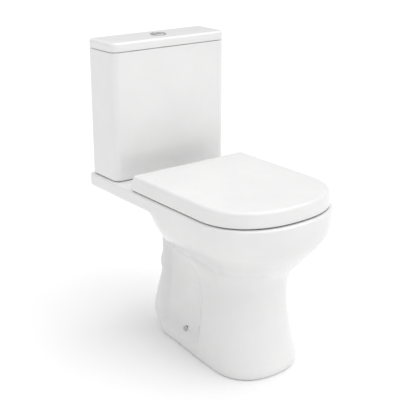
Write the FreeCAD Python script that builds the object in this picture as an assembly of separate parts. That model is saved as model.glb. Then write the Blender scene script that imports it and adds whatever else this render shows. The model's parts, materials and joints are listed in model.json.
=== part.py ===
import FreeCAD, Part
import math
import os

# Close coupled toilet: ceramic pan and cistern, dual flush valve, fill valve, soft-close seat.
# Millimetres, +Z up, origin on the floor under the middle of the outer box.
# -Y is the front, +Y the wall side; the cold water inlet is on the +X side.

V = FreeCAD.Vector
X_AXIS = V(1, 0, 0)
Y_AXIS = V(0, 1, 0)
Z_AXIS = V(0, 0, 1)
MITRED = 1

# ---- driving dimensions ---------------------------------------------------------------------
# Overall
LID_TOP_Z = 778.0
PAN_DEPTH = 632.0
Y_BACK = PAN_DEPTH / 2
Y_NOSE = -PAN_DEPTH / 2

# Pan
RIM_Z = 421.0
RIM_HALF_WIDTH = 183.0
SHELF_HALF_WIDTH = 181.5
RIM_BAND = 37.0
WALL = 10.0
NOSE_START_Y = -158.0
NOSE_POWER = 2.3
DECK = 14.0
SPLIT_Z = 276.0
SHELF_SPLIT_Y = 150.0
OUTLET_SPLIT_Y = 128.0
OUTLET_SPLIT_HALF = 60.0
OUTLET_Z = 180.0
OUTLET_R = 51.0
OUTLET_BORE_R = 41.0
OUTLET_COLLAR_R = 57.0
OUTLET_ROOT_Y = 153.0
OUTLET_END_Y = 176.0
TRAP_R = 27.0
TRAP_WALL = 7.5

# Cistern
CISTERN_HALF_WIDTH = 176.5
CISTERN_FRONT_Y = 187.0
CISTERN_BACK_Y = 303.0
CISTERN_Z0 = 422.5
CISTERN_Z1 = 753.5
CISTERN_WALL = 9.0
CISTERN_FLOOR = 12.0
LID_Z0 = 755.0
LID_SHELL = 10.0
CORNER_R = 20.0
VALVE_Y = 0.5 * (CISTERN_FRONT_Y + CISTERN_BACK_Y)
FLOOR_Z = CISTERN_Z0 + CISTERN_FLOOR
WALL_HOLE_X = 110.0
WALL_HOLE_Z = 715.0
WALL_HOLE_R = 4.0

# Couplings between cistern and pan
COUPLING_X = 80.0
BOLT_R = 4.0
GASKET_R = 50.0
RECESS_R = 52.0
RECESS_Z = 391.0

# Flush valve
TAIL_R = 30.0
TAIL_BORE_R = 24.0
SEAT_Z = 452.0
CANISTER_R = 27.0
DRUM_HEIGHT = 160.0
TOWER_R = 36.0
TOWER_TOP_Z = 640.0
OVERFLOW_R = 15.5
OVERFLOW_BORE_R = 13.0
OVERFLOW_TOP_Z = 680.0
AXLE_X = 30.0
AXLE_Z = 700.0
AXLE_R = 2.0
LEVER_PLANE = 7.0
INPUT_ARM = 20.0
OUTPUT_ARM = 26.0

# Fill valve
FILL_X = 125.0
INLET_R = 10.3
SHANK_R = 10.9
SHANK_Z = 410.0
INLET_END_Z = 368.0
FLOAT_PIVOT_X = 108.0
FLOAT_PIVOT_Z = 668.0
FLOAT_ARM = 30.0

# Buttons
BUTTON_R = 16.0
BUTTON_SPLIT_X = -3.0
BUTTON_BASE_Z = 768.0
BUTTON_TOP_Z = 782.5
BEZEL_R = 21.0
BEZEL_PROUD = 2.5
BEZEL_FLOOR_Z = 760.0
ROD_R = 2.5
SPRING_R = 3.5
SPRING_WIRE_R = 0.4
SPRING_TURNS = 3
SPRING_SIDES = 8

# Seat
HINGE_Y = 128.0
HINGE_Z = 437.0
HINGE_X = 77.5
PIN_R = 4.0
SEAT_HALF_WIDTH = 181.0
SEAT_BACK_Y = 120.0
SEAT_NOSE_Y = -306.0
SEAT_LID_Z0 = 424.5
SEAT_LID_Z1 = 463.5
LID_SKIN = 4.0
LID_TOP_SKIN = 5.0
RING_INSET = 7.5
RING_Z0 = 427.0
RING_Z1 = 445.0

RING_BACK_Y = 108.0
SEAT_HOLE_HALF_WIDTH = 108.0
SEAT_HOLE_REAR_Y = 42.0
SEAT_HOLE_NOSE_Y = -236.0
RIM_GAP = 0.3

# Floor fixings: where each inclined screw meets the foot, and its slope
SCREW_X = 88.0
SCREW_Y = 13.0
SCREW_Z = 51.0
SCREW_SLOPE = math.radians(45)
SPOT_FACE_R = 6.8


# ---- helpers --------------------------------------------------------------------------------
def box(x0, x1, y0, y1, z0, z1):
    """Block between two corners."""
    return Part.makeBox(x1 - x0, y1 - y0, z1 - z0, V(x0, y0, z0))


def rod(radius, base, length, axis=Z_AXIS):
    """Solid cylinder from its base point along an axis."""
    return Part.makeCylinder(radius, length, base, axis)


def tube(outer, inner, base, length, axis=Z_AXIS):
    """Cylinder with a through bore."""
    return rod(outer, base, length, axis).cut(rod(inner, base, length, axis))


def join(*shapes):
    """One solid from overlapping or touching pieces."""
    first, *rest = shapes
    return first.multiFuse(rest).removeSplitter()


def group(*shapes):
    """Separate solids kept in one node."""
    return Part.makeCompound(list(shapes))


def both_sides(shape):
    """The shape and its mirror image across X = 0."""
    return group(shape, shape.mirror(V(0, 0, 0), X_AXIS))


def edges_where(shape, test):
    """Edges whose bounding box meets the test."""
    return [edge for edge in shape.Edges if test(edge.BoundBox)]


def vertical(bounds):
    """True for an edge that runs straight up."""
    return bounds.XLength < 0.01 and bounds.YLength < 0.01 and bounds.ZLength > 1.0


def at_height(z):
    """Test for edges that lie at one height."""
    return lambda bounds: bounds.ZLength < 0.01 and abs(bounds.ZMin - z) < 0.01


def hex_prism(across, base, height):
    """Hexagonal head or nut standing on its base point."""
    radius = across / math.sqrt(3)
    corners = [
        base + V(radius * math.cos(math.radians(60 * k)), radius * math.sin(math.radians(60 * k)), 0)
        for k in range(7)
    ]
    return Part.Face(Part.makePolygon(corners)).extrude(V(0, 0, height))


def wing_nut(base, height, bore, hub=9.0, span=17.0):
    """Nut with two finger wings, bored through."""
    hub_body = rod(hub, base, height)
    wings = box(base.x - span, base.x + span, base.y - 2.5, base.y + 2.5, base.z, base.z + height * 0.8)
    return join(hub_body, wings).cut(rod(bore, base - V(0, 0, 1), height + 2))


# ---- outlines -------------------------------------------------------------------------------
def superellipse_quarter(power, steps):
    """Unit curve from (1, 0) to (0, 1): (side, end) pairs."""
    pairs = []
    for k in range(steps + 1):
        angle = 0.5 * math.pi * k / steps
        pairs.append((math.cos(angle) ** (2 / power), math.sin(angle) ** (2 / power)))
    return pairs


def d_outline(z, half_width, back_y, nose_y, corner=14.0):
    """Closed wire with a straight back, straight sides and a rounded nose."""
    nose = [
        V(half_width * side, NOSE_START_Y - (NOSE_START_Y - nose_y) * end, z)
        for side, end in superellipse_quarter(NOSE_POWER, 10)
    ]
    left = [V(-p.x, p.y, z) for p in reversed(nose[:-1])]
    curve = Part.BSplineCurve()
    curve.interpolate(nose + left, InitialTangent=V(0, -1, 0), FinalTangent=V(0, 1, 0))
    bend = corner * math.sqrt(0.5)
    centre_x = half_width - corner
    centre_y = back_y - corner
    right_arc = Part.Arc(
        V(centre_x, back_y, z), V(centre_x + bend, centre_y + bend, z), V(half_width, centre_y, z))
    left_arc = Part.Arc(
        V(-half_width, centre_y, z), V(-centre_x - bend, centre_y + bend, z), V(-centre_x, back_y, z))
    return Part.Wire([
        right_arc.toShape(),
        Part.LineSegment(V(half_width, centre_y, z), nose[0]).toShape(),
        curve.toShape(),
        Part.LineSegment(left[-1], V(-half_width, centre_y, z)).toShape(),
        left_arc.toShape(),
        Part.LineSegment(V(-centre_x, back_y, z), V(centre_x, back_y, z)).toShape(),
    ])


def d_slab(z0, z1, half_width, back_y, nose_y, edge=0.0):
    """Solid with a D outline between two heights, its top edge rounded by the edge radius."""
    wires = [d_outline(z0, half_width, back_y, nose_y), d_outline(z1 - edge, half_width, back_y, nose_y)]
    if edge:
        for angle in (math.radians(30), math.radians(60), math.radians(90)):
            inset = edge * (1 - math.cos(angle))
            level = z1 - edge * (1 - math.sin(angle))
            wires.append(d_outline(level, half_width - inset, back_y - inset, nose_y + inset, 14.0 - inset))
    return Part.makeLoft(wires, True, True)


def smooth_ring(points):
    """Closed smooth wire through points that go once round."""
    curve = Part.BSplineCurve()
    curve.interpolate(points, PeriodicFlag=True)
    return Part.Wire([curve.toShape()])


def oval(z, width_at, rear_y, rear_run, nose_y, nose_run, rear_power=2.2):
    """Closed wire: rounded rear, sides whose half width is width_at(y), rounded nose."""
    rear_start = rear_y - rear_run
    nose_start = nose_y + nose_run
    half = []
    for side, end in reversed(superellipse_quarter(rear_power, 5)):
        half.append((side, rear_start + rear_run * end))
    for k in range(1, 6):
        half.append((1.0, rear_start + (nose_start - rear_start) * k / 6))
    for side, end in superellipse_quarter(NOSE_POWER, 6):
        half.append((side, nose_start - nose_run * end))
    right = [V(side * width_at(y), y, z) for side, y in half]
    left = [V(-p.x, p.y, z) for p in reversed(right[1:-1])]
    return smooth_ring(right + left)


def smoothstep(low, high, value):
    """0 below low, 1 above high, eased between."""
    t = min(1.0, max(0.0, (value - low) / (high - low)))
    return t * t * (3 - 2 * t)


def loft(wires):
    """Smooth solid through closed wires."""
    return Part.makeLoft(wires, True, False)


# ---- pan ------------------------------------------------------------------------------------
# Horizontal sections of the pan's outside, floor to rim: height, rear Y, length and squareness of
# the rear rounding, half width at the rear and in front, nose Y, nose length, depth of side recess
SKIN = [
    (0.0, 122.0, 24.0, 3.5, 91.0, 108.0, -240.0, 98.0, 0.0),
    (14.0, 126.0, 24.0, 3.5, 95.0, 112.0, -246.0, 98.0, 0.0),
    (34.0, 140.0, 24.0, 3.5, 97.0, 110.0, -243.0, 98.0, 1.0),
    (64.0, 158.0, 24.0, 3.5, 97.0, 105.0, -238.0, 98.0, 13.0),
    (115.0, 152.0, 24.0, 3.5, 91.0, 99.0, -231.0, 98.0, 16.0),
    (180.0, 137.0, 24.0, 3.5, 85.0, 93.0, -223.0, 98.0, 16.0),
    (235.0, 134.0, 30.0, 3.2, 84.0, 95.0, -226.0, 102.0, 10.0),
    (262.0, 134.0, 60.0, 2.8, 92.0, 108.0, -240.0, 112.0, 4.0),
    (290.0, 136.0, 120.0, 2.3, 118.0, 128.0, -264.0, 130.0, 0.0),
    (320.0, 140.0, 160.0, 2.2, 150.0, 153.0, -288.0, 145.0, 0.0),
    (352.0, 146.0, 185.0, 2.2, 173.0, 175.0, -308.0, 152.0, 0.0),
    (384.0, 160.0, 190.0, 2.2, 182.0, 182.0, -315.0, 157.0, 0.0),
    (402.0, 160.0, 190.0, 2.2, RIM_HALF_WIDTH, RIM_HALF_WIDTH, Y_NOSE, 158.0, 0.0),
    (414.0, 160.0, 190.0, 2.2, 181.5, 181.5, -314.5, 157.0, 0.0),
    (RIM_Z, 158.0, 190.0, 2.2, 177.0, 177.0, -310.0, 155.0, 0.0),
]
# Basin sections: height, half width, rear Y, nose Y
BASIN = [
    (205.0, 34.0, -52.0, -150.0),
    (235.0, 62.0, -16.0, -186.0),
    (280.0, 88.0, 16.0, -218.0),
    (330.0, 106.0, 40.0, -240.0),
    (385.0, 116.0, 56.0, -252.0),
    (422.0, 118.0, 60.0, -254.0),
]


def skin_section(row, inset=0.0):
    """One horizontal section of the pan's outside, moved inwards by the inset."""
    z, rear_y, rear_run, rear_power, rear_width, front_width, nose_y, nose_run, recess = row

    def width_at(y):
        along = smoothstep(-140.0, 120.0, y)
        scoop = recess * smoothstep(-80.0, -45.0, y) * (1 - smoothstep(80.0, 125.0, y))
        return front_width + (rear_width - front_width) * along - scoop - inset

    return oval(z, width_at, rear_y - inset, rear_run, nose_y + inset, nose_run, rear_power)


def shelf():
    """Slab behind the seat that the cistern stands on."""
    slab = box(-SHELF_HALF_WIDTH, SHELF_HALF_WIDTH, -60, Y_BACK, RIM_Z - RIM_BAND, RIM_Z)
    slab = slab.makeFillet(12.0, edges_where(slab, lambda b: vertical(b) and b.YMin > 100))
    slab = slab.makeFillet(8.0, edges_where(slab, at_height(RIM_Z - RIM_BAND)))
    return slab.makeFillet(4.0, edges_where(slab, at_height(RIM_Z)))


def flush_duct():
    """Rib under the shelf that holds the flush waterway."""
    duct = box(-62, 62, 100, 306, 350, RIM_Z - DECK)
    return duct.makeFillet(15.0, edges_where(duct, lambda b: b.XLength < 0.01 and b.ZMax < 360))


def pan_void():
    """Space between the pan's outer skin and its basin, open at the floor."""
    rows = [(-2.0,) + SKIN[0][1:]] + SKIN[1:-3]
    top = (RIM_Z - DECK,) + SKIN[-3][1:]
    return loft([skin_section(row, WALL) for row in rows + [top]])


def basin(grow=0.0):
    """Inside of the bowl, grown outwards for the basin's own wall."""
    wires = []
    for z, half_width, rear_y, nose_y in BASIN:
        run = 0.5 * (rear_y - nose_y) - 5
        width = half_width + grow
        level = z - grow if z < RIM_Z else z
        wires.append(oval(level, lambda y, w=width: w, rear_y + grow, run, nose_y - grow, run))
    return loft(wires)


def trap_path():
    """Centre line of the waterway: down from the sump, up over the weir, back to the outlet."""
    points = [V(0, -101, 215), V(0, -90, 135), V(0, -25, 125), V(0, 25, 238), V(0, 88, 232),
              V(0, 116, OUTLET_Z), V(0, OUTLET_END_Y, OUTLET_Z)]
    edges = []
    start = points[0]
    for before, corner, after in zip(points, points[1:], points[2:]):
        to_before = (before - corner).normalize()
        to_after = (after - corner).normalize()
        reach = 0.48 * min((before - corner).Length, (after - corner).Length)
        half = 0.5 * to_before.getAngle(to_after)
        radius = reach * math.tan(half)
        bisector = (to_before + to_after).normalize()
        enter = corner + to_before * reach
        middle = corner + bisector * (radius / math.sin(half) - radius)
        leave = corner + to_after * reach
        edges.append(Part.LineSegment(start, enter).toShape())
        edges.append(Part.Arc(enter, middle, leave).toShape())
        start = leave
    edges.append(Part.LineSegment(start, points[-1]).toShape())
    return Part.Wire(edges)


def trap_tube(radius):
    """Round tube along the waterway."""
    path = trap_path()
    start = path.Edges[0].valueAt(path.Edges[0].FirstParameter)
    direction = path.Edges[0].tangentAt(path.Edges[0].FirstParameter)
    profile = Part.Wire([Part.makeCircle(radius, start, direction)])
    return path.makePipeShell([profile], True, True)


def screw_direction(side):
    """Unit vector along a floor screw, from its head inwards and down."""
    return V(-side * math.sin(SCREW_SLOPE), 0, -math.cos(SCREW_SLOPE))


def along_screw(side, distance):
    """Point on a floor screw's axis, measured inwards from the foot's surface."""
    return V(side * SCREW_X, SCREW_Y, SCREW_Z) + screw_direction(side) * distance


def pan():
    """Vitreous china pan with rim, basin, trap, cistern shelf and every fixing hole."""
    waterway = rod(26.0, V(0, 40, 378), 200, Y_AXIS)
    void = pan_void().cut(basin(WALL)).cut(trap_tube(TRAP_R + TRAP_WALL)).cut(waterway)
    body = join(loft([skin_section(row) for row in SKIN]), shelf(), flush_duct()).cut(void)
    collar = rod(OUTLET_COLLAR_R, V(0, 122, OUTLET_Z), OUTLET_ROOT_Y - 122, Y_AXIS)
    spigot = rod(OUTLET_R, V(0, 130, OUTLET_Z), OUTLET_END_Y - 130, Y_AXIS)
    body = join(body, collar, spigot).cut(basin()).cut(trap_tube(TRAP_R))
    body = body.cut(rod(OUTLET_BORE_R, V(0, OUTLET_SPLIT_Y, OUTLET_Z), OUTLET_END_Y, Y_AXIS))
    for side in (-1, 1):
        near, far = sorted((side * 62.0, side * (RIM_HALF_WIDTH - WALL)))
        body = body.cut(box(near, far, 165, Y_BACK - WALL, RIM_Z - RIM_BAND - 8, RIM_Z - DECK))
        body = body.cut(rod(6.5, V(side * COUPLING_X, VALVE_Y, 380), 60))
        body = body.cut(rod(6.0, V(side * HINGE_X, HINGE_Y, 330), 120))
        body = body.cut(rod(17.0, V(side * HINGE_X, HINGE_Y, 330), RIM_Z - DECK - 330))
        body = body.cut(rod(5.0, along_screw(side, -30), 55, screw_direction(side)))
        body = body.cut(rod(SPOT_FACE_R, along_screw(side, -30), 30.6, screw_direction(side)))
    body = body.cut(rod(RECESS_R, V(0, VALVE_Y, RECESS_Z), 40))
    body = body.cut(rod(27.0, V(0, VALVE_Y, 362), 40))
    body = body.cut(rod(16.0, V(0, 40, 378), VALVE_Y - 40, Y_AXIS))
    return body.cut(rod(24.0, V(FILL_X, VALVE_Y, 380), 60))


def pan_pieces():
    """Bowl, shelf, column and outlet: one firing, divided so that each keeps its own hollow open."""
    reach = 400.0
    lower = box(-reach, reach, -reach, reach, -10, SPLIT_Z)
    rear = box(-reach, reach, SHELF_SPLIT_Y, reach, SPLIT_Z, RIM_Z + 10)
    outlet = box(-OUTLET_SPLIT_HALF, OUTLET_SPLIT_HALF, OUTLET_SPLIT_Y, reach,
                 OUTLET_Z - OUTLET_SPLIT_HALF, OUTLET_Z + OUTLET_SPLIT_HALF)
    whole = pan()
    upper = whole.cut(lower)
    column = whole.common(lower)
    return {
        "pan_bowl": upper.cut(rear),
        "pan_shelf": upper.common(rear),
        "pan_column": column.cut(outlet),
        "pan_outlet": column.common(outlet),
    }


# ---- cistern --------------------------------------------------------------------------------
def rounded_block(half_width, y0, y1, z0, z1, front_r, back_r):
    """Upright block with round vertical corners."""
    block = box(-half_width, half_width, y0, y1, z0, z1)
    front = edges_where(block, lambda b: vertical(b) and b.YMin < y0 + 1)
    back = edges_where(block, lambda b: vertical(b) and b.YMin > y1 - 1)
    return block.makeFillet(front_r, front).makeFillet(back_r, back)


def cistern_body():
    """Open-topped ceramic tank."""
    outside = rounded_block(
        CISTERN_HALF_WIDTH, CISTERN_FRONT_Y, CISTERN_BACK_Y, CISTERN_Z0, CISTERN_Z1, CORNER_R, 10.0)
    outside = outside.makeFillet(5.0, edges_where(outside, at_height(CISTERN_Z0)))
    inside = rounded_block(
        CISTERN_HALF_WIDTH - CISTERN_WALL, CISTERN_FRONT_Y + CISTERN_WALL, CISTERN_BACK_Y - CISTERN_WALL,
        FLOOR_Z, CISTERN_Z1 + 5, CORNER_R - CISTERN_WALL, 6.0)
    body = outside.cut(inside).cut(rod(31.5, V(0, VALVE_Y, CISTERN_Z0 - 5), 30))
    for side in (-1, 1):
        body = body.cut(rod(5.0, V(side * COUPLING_X, VALVE_Y, CISTERN_Z0 - 5), 30))
        body = body.cut(rod(WALL_HOLE_R, V(side * WALL_HOLE_X, CISTERN_BACK_Y - 20, WALL_HOLE_Z), 30, Y_AXIS))
    return body.cut(rod(11.5, V(FILL_X, VALVE_Y, CISTERN_Z0 - 5), 30))


def cistern_pads():
    """Two foam strips that carry the cistern on the shelf."""
    pad = box(100, 160, 204, 216, RIM_Z, CISTERN_Z0)
    return both_sides(pad)


def cistern_lid():
    """Ceramic lid with a locating lip and the button hole."""
    lid = rounded_block(
        CISTERN_HALF_WIDTH, CISTERN_FRONT_Y, CISTERN_BACK_Y, LID_Z0, LID_TOP_Z, CORNER_R, 10.0)
    lid = lid.makeFillet(5.0, edges_where(lid, at_height(LID_TOP_Z)))
    hollow = rounded_block(
        CISTERN_HALF_WIDTH - 12, CISTERN_FRONT_Y + 12, CISTERN_BACK_Y - 12, LID_Z0 - 1, LID_TOP_Z - 10,
        9.0, 5.0)
    lip_out = rounded_block(
        CISTERN_HALF_WIDTH - 11, CISTERN_FRONT_Y + 11, CISTERN_BACK_Y - 11, LID_Z0 - 9, LID_Z0 + 2,
        9.0, 6.0)
    lip_in = rounded_block(
        CISTERN_HALF_WIDTH - 17, CISTERN_FRONT_Y + 17, CISTERN_BACK_Y - 17, LID_Z0 - 10, LID_Z0 + 3,
        6.0, 4.0)
    lid = join(lid.cut(hollow), lip_out.cut(lip_in))
    return lid.cut(rod(19.5, V(0, VALVE_Y, LID_TOP_Z - 30), 40))


# ---- cistern couplings ----------------------------------------------------------------------
def coupling_gasket():
    """Thick rubber ring round the flush outlet."""
    return tube(GASKET_R, 39.0, V(0, VALVE_Y, RECESS_Z), CISTERN_Z0 - RECESS_Z)


def coupling_bolts():
    """Two bolts that clamp the cistern to the shelf."""
    base = V(COUPLING_X, VALVE_Y, 374)
    head_z = FLOOR_Z + 4.5
    bolt = join(rod(BOLT_R, base, head_z - 374), hex_prism(13.0, V(COUPLING_X, VALVE_Y, head_z), 5.5))
    return both_sides(bolt)


def coupling_rubber_washers():
    """Sealing washers under the bolt heads."""
    return both_sides(tube(12.0, BOLT_R, V(COUPLING_X, VALVE_Y, FLOOR_Z), 3.0))


def coupling_steel_washers():
    """Plate washers above the rubber ones and under the shelf."""
    upper = tube(11.0, BOLT_R, V(COUPLING_X, VALVE_Y, FLOOR_Z + 3.0), 1.5)
    lower = tube(12.0, BOLT_R, V(COUPLING_X, VALVE_Y, RIM_Z - DECK - 1.5), 1.5)
    return group(*both_sides(upper).Solids, *both_sides(lower).Solids)


def coupling_wing_nuts():
    """Wing nuts under the shelf."""
    base = V(COUPLING_X, VALVE_Y, RIM_Z - DECK - 13.5)
    return both_sides(wing_nut(base, 12.0, BOLT_R))


# ---- flush valve ----------------------------------------------------------------------------
def flush_valve_gasket():
    """Rubber seal under the valve's flange."""
    return tube(42.0, 31.0, V(0, VALVE_Y, FLOOR_Z), 2.5)


def flush_valve_base():
    """Threaded tail, flange and sealing seat."""
    tail_z = 396.0
    centre = V(0, VALVE_Y, 0)
    tail = rod(TAIL_R, centre + V(0, 0, tail_z), FLOOR_Z + 2.5 - tail_z)
    flange = rod(42.0, centre + V(0, 0, FLOOR_Z + 2.5), 5.0)
    seat = rod(31.0, centre + V(0, 0, FLOOR_Z + 7.5), SEAT_Z - FLOOR_Z - 7.5)
    return join(tail, flange, seat).cut(rod(TAIL_BORE_R, centre + V(0, 0, tail_z - 1), 90))


def flush_valve_backnut():
    """Large nut that clamps the valve to the cistern floor."""
    base = V(0, VALVE_Y, CISTERN_Z0 - 12)
    return hex_prism(66.0, base, 11.7).cut(rod(TAIL_R, base - V(0, 0, 1), 20))


def flush_valve_tower():
    """Guide cage round the canister, with water ports at its foot."""
    base = V(0, VALVE_Y, FLOOR_Z + 7.5)
    cage = tube(TOWER_R, TOWER_R - 3.0, base, TOWER_TOP_Z - base.z)
    for angle in range(0, 180, 60):
        port = box(-60, 60, -11, 11, base.z + 5, base.z + 48)
        slot = box(-60, 60, -6, 6, base.z + 75, TOWER_TOP_Z - 40)
        for cutter in (port, slot):
            cutter.rotate(V(0, 0, 0), Z_AXIS, angle)
            cutter.translate(V(0, VALVE_Y, 0))
            cage = cage.cut(cutter)
    foot = tube(TOWER_R, 31.0, base, 4.0)
    return join(cage, foot)


def tower_cap():
    """Snap-on cap with the two lever brackets."""
    plate = tube(39.0, OVERFLOW_R + 1.0, V(0, VALVE_Y, TOWER_TOP_Z), 5.0)
    cap = plate
    for side in (-1, 1):
        lever_y = VALVE_Y - side * LEVER_PLANE
        for cheek in (-1, 1):
            cheek_y = lever_y + cheek * 5.0
            ear = box(side * AXLE_X - 4, side * AXLE_X + 4, cheek_y - 1.2, cheek_y + 1.2,
                      TOWER_TOP_Z + 2, AXLE_Z + 4)
            cap = join(cap, ear)
        cap = cap.cut(rod(AXLE_R, V(side * AXLE_X, lever_y - 20, AXLE_Z), 40, Y_AXIS))
    return cap


def lever_axles():
    """Pins that the two lift levers rock on."""
    pins = [
        rod(AXLE_R, V(side * AXLE_X, VALVE_Y - side * LEVER_PLANE - 7, AXLE_Z), 14, Y_AXIS)
        for side in (-1, 1)
    ]
    return group(*pins)


def lift_lever(side):
    """Rocker: the rod presses its inner end, its outer end lifts the yoke."""
    lever_y = VALVE_Y - side * LEVER_PLANE
    inner = side * (AXLE_X - INPUT_ARM - 4)
    outer = side * (AXLE_X + OUTPUT_ARM)
    x0, x1 = sorted((inner, outer))
    bar = box(x0, x1, lever_y - 3, lever_y + 3, AXLE_Z - 2, AXLE_Z + 2)
    hub = rod(4.5, V(side * AXLE_X, lever_y - 3, AXLE_Z), 6, Y_AXIS)
    bore = rod(AXLE_R + 0.05, V(side * AXLE_X, lever_y - 5, AXLE_Z), 10, Y_AXIS)
    return join(bar, hub).cut(bore)


def valve_canister():
    """Float drum with the overflow pipe through it."""
    centre = V(0, VALVE_Y, 0)
    foot_z = SEAT_Z + 3.5
    drum = rod(CANISTER_R, centre + V(0, 0, foot_z), DRUM_HEIGHT)
    drum = drum.cut(rod(CANISTER_R - 2.0, centre + V(0, 0, foot_z + 3.0), DRUM_HEIGHT - 6.0))
    pipe = rod(OVERFLOW_R, centre + V(0, 0, foot_z), OVERFLOW_TOP_Z - foot_z)
    return join(drum, pipe).cut(rod(OVERFLOW_BORE_R, centre + V(0, 0, SEAT_Z), 300))


def valve_seal():
    """Rubber disc that closes on the valve seat."""
    return tube(29.0, OVERFLOW_BORE_R, V(0, VALVE_Y, SEAT_Z + 0.3), 3.2)


def canister_yoke():
    """Cross bar on the overflow pipe that both levers lift."""
    span = AXLE_X + OUTPUT_ARM + 4
    bar_z = AXLE_Z + 6.0
    bar = box(-span, span, VALVE_Y - 3, VALVE_Y + 3, bar_z, bar_z + 4)
    yoke = bar
    for side in (-1, 1):
        lever_y = VALVE_Y - side * LEVER_PLANE
        y0, y1 = sorted((lever_y - side * 4, VALVE_Y))
        lug_x0, lug_x1 = sorted((side * (span - 8), side * span))
        lug_z = bar_z - 3.6 if side > 0 else bar_z + 4
        yoke = join(yoke, box(lug_x0, lug_x1, y0, y1, lug_z, bar_z + 8))
        post_x0, post_x1 = sorted((side * 13.0, side * 15.5))
        yoke = join(yoke, box(post_x0, post_x1, VALVE_Y - 3, VALVE_Y + 3, OVERFLOW_TOP_Z, bar_z + 1))
    return yoke


# ---- fill valve -----------------------------------------------------------------------------
def fill_valve_gasket():
    """Rubber seal under the fill valve's flange."""
    return tube(18.0, SHANK_R, V(FILL_X, VALVE_Y, FLOOR_Z), 2.5)


def fill_valve_shank():
    """Threaded inlet tail, flange and riser pipe."""
    tail = rod(INLET_R, V(FILL_X, VALVE_Y, INLET_END_Z), SHANK_Z - INLET_END_Z)
    shank = rod(SHANK_R, V(FILL_X, VALVE_Y, SHANK_Z), FLOOR_Z + 2.5 - SHANK_Z)
    flange = rod(18.0, V(FILL_X, VALVE_Y, FLOOR_Z + 2.5), 4.0)
    riser = rod(8.5, V(FILL_X, VALVE_Y, FLOOR_Z + 6.5), 650 - FLOOR_Z - 6.5)
    return join(tail, shank, flange, riser).cut(rod(5.0, V(FILL_X, VALVE_Y, INLET_END_Z - 1), 268))


def fill_valve_backnut():
    """Plastic nut under the cistern floor."""
    base = V(FILL_X, VALVE_Y, CISTERN_Z0 - 10)
    return hex_prism(32.0, base, 9.7).cut(rod(SHANK_R, base - V(0, 0, 1), 20))


def fill_valve_head():
    """Valve body with the arm's pivot ears and the refill spout."""
    body = rod(17.0, V(FILL_X, VALVE_Y, 650), 32)
    body = body.makeFillet(3.0, edges_where(body, at_height(682)))
    ears = box(FLOAT_PIVOT_X - 5, FILL_X, VALVE_Y - 7, VALVE_Y + 7, FLOAT_PIVOT_Z - 5, FLOAT_PIVOT_Z + 5)
    slot = box(FLOAT_PIVOT_X - 20, FLOAT_PIVOT_X + 3.5, VALVE_Y - 3.5, VALVE_Y + 3.5, 640, 690)
    pin = rod(1.5, V(FLOAT_PIVOT_X, VALVE_Y - 10, FLOAT_PIVOT_Z), 20, Y_AXIS)
    spout = rod(4.5, V(FILL_X, VALVE_Y + 7.5, 680), 12)
    return join(body, ears, spout).cut(slot).cut(pin)


def float_arm_pin():
    """Pin that the float arm turns on."""
    return rod(1.5, V(FLOAT_PIVOT_X, VALVE_Y - 7.5, FLOAT_PIVOT_Z), 15, Y_AXIS)


def float_arm():
    """Arm from the valve's pivot to the float's link."""
    bar = box(FLOAT_PIVOT_X - FLOAT_ARM - 3, FLOAT_PIVOT_X, VALVE_Y - 3, VALVE_Y + 3,
              FLOAT_PIVOT_Z - 1.5, FLOAT_PIVOT_Z + 1.5)
    hub = rod(3.2, V(FLOAT_PIVOT_X, VALVE_Y - 3, FLOAT_PIVOT_Z), 6, Y_AXIS)
    bore = rod(1.55, V(FLOAT_PIVOT_X, VALVE_Y - 5, FLOAT_PIVOT_Z), 10, Y_AXIS)
    return join(bar, hub).cut(bore)


def float_cup():
    """Float that slides on the riser pipe."""
    cup = tube(26.0, 9.0, V(FILL_X, VALVE_Y, 560), 62)
    arm_x = FLOAT_PIVOT_X - FLOAT_ARM
    lug = box(arm_x - 4, FILL_X - 22, VALVE_Y - 4, VALVE_Y + 4, 600, 608)
    return join(cup, lug)


def float_link():
    """Adjusting rod that hangs the float on the arm."""
    arm_x = FLOAT_PIVOT_X - FLOAT_ARM
    stem = rod(2.0, V(arm_x, VALVE_Y, 608), FLOAT_PIVOT_Z - 7 - 608)
    frame = box(arm_x - 6, arm_x + 6, VALVE_Y - 5, VALVE_Y + 5, FLOAT_PIVOT_Z - 8, FLOAT_PIVOT_Z + 8)
    window = box(arm_x - 8, arm_x + 8, VALVE_Y - 3.5, VALVE_Y + 3.5, FLOAT_PIVOT_Z - 6, FLOAT_PIVOT_Z + 6)
    return join(stem, frame.cut(window))


def refill_tube():
    """Bent pipe from the fill valve's spout into the overflow pipe."""
    run_y = VALVE_Y + 7.5
    top_z = 716.0
    bend = 9.0
    drop_x = 5.0
    points = [V(FILL_X, run_y, 692), V(FILL_X, run_y, top_z), V(drop_x, run_y, top_z),
              V(drop_x, run_y, OVERFLOW_TOP_Z - 6)]
    shift = bend * (1 - math.sqrt(0.5))
    edges = [
        Part.LineSegment(points[0], V(FILL_X, run_y, top_z - bend)).toShape(),
        Part.Arc(V(FILL_X, run_y, top_z - bend), V(FILL_X - shift, run_y, top_z - shift),
                 V(FILL_X - bend, run_y, top_z)).toShape(),
        Part.LineSegment(V(FILL_X - bend, run_y, top_z), V(drop_x + bend, run_y, top_z)).toShape(),
        Part.Arc(V(drop_x + bend, run_y, top_z), V(drop_x + shift, run_y, top_z - shift),
                 V(drop_x, run_y, top_z - bend)).toShape(),
        Part.LineSegment(V(drop_x, run_y, top_z - bend), points[3]).toShape(),
    ]
    path = Part.Wire(edges)
    outer = path.makePipeShell([Part.Wire([Part.makeCircle(3.0, points[0], Z_AXIS)])], True, True)
    inner = path.makePipeShell([Part.Wire([Part.makeCircle(2.0, points[0], Z_AXIS)])], True, True)
    return outer.cut(inner)


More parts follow.
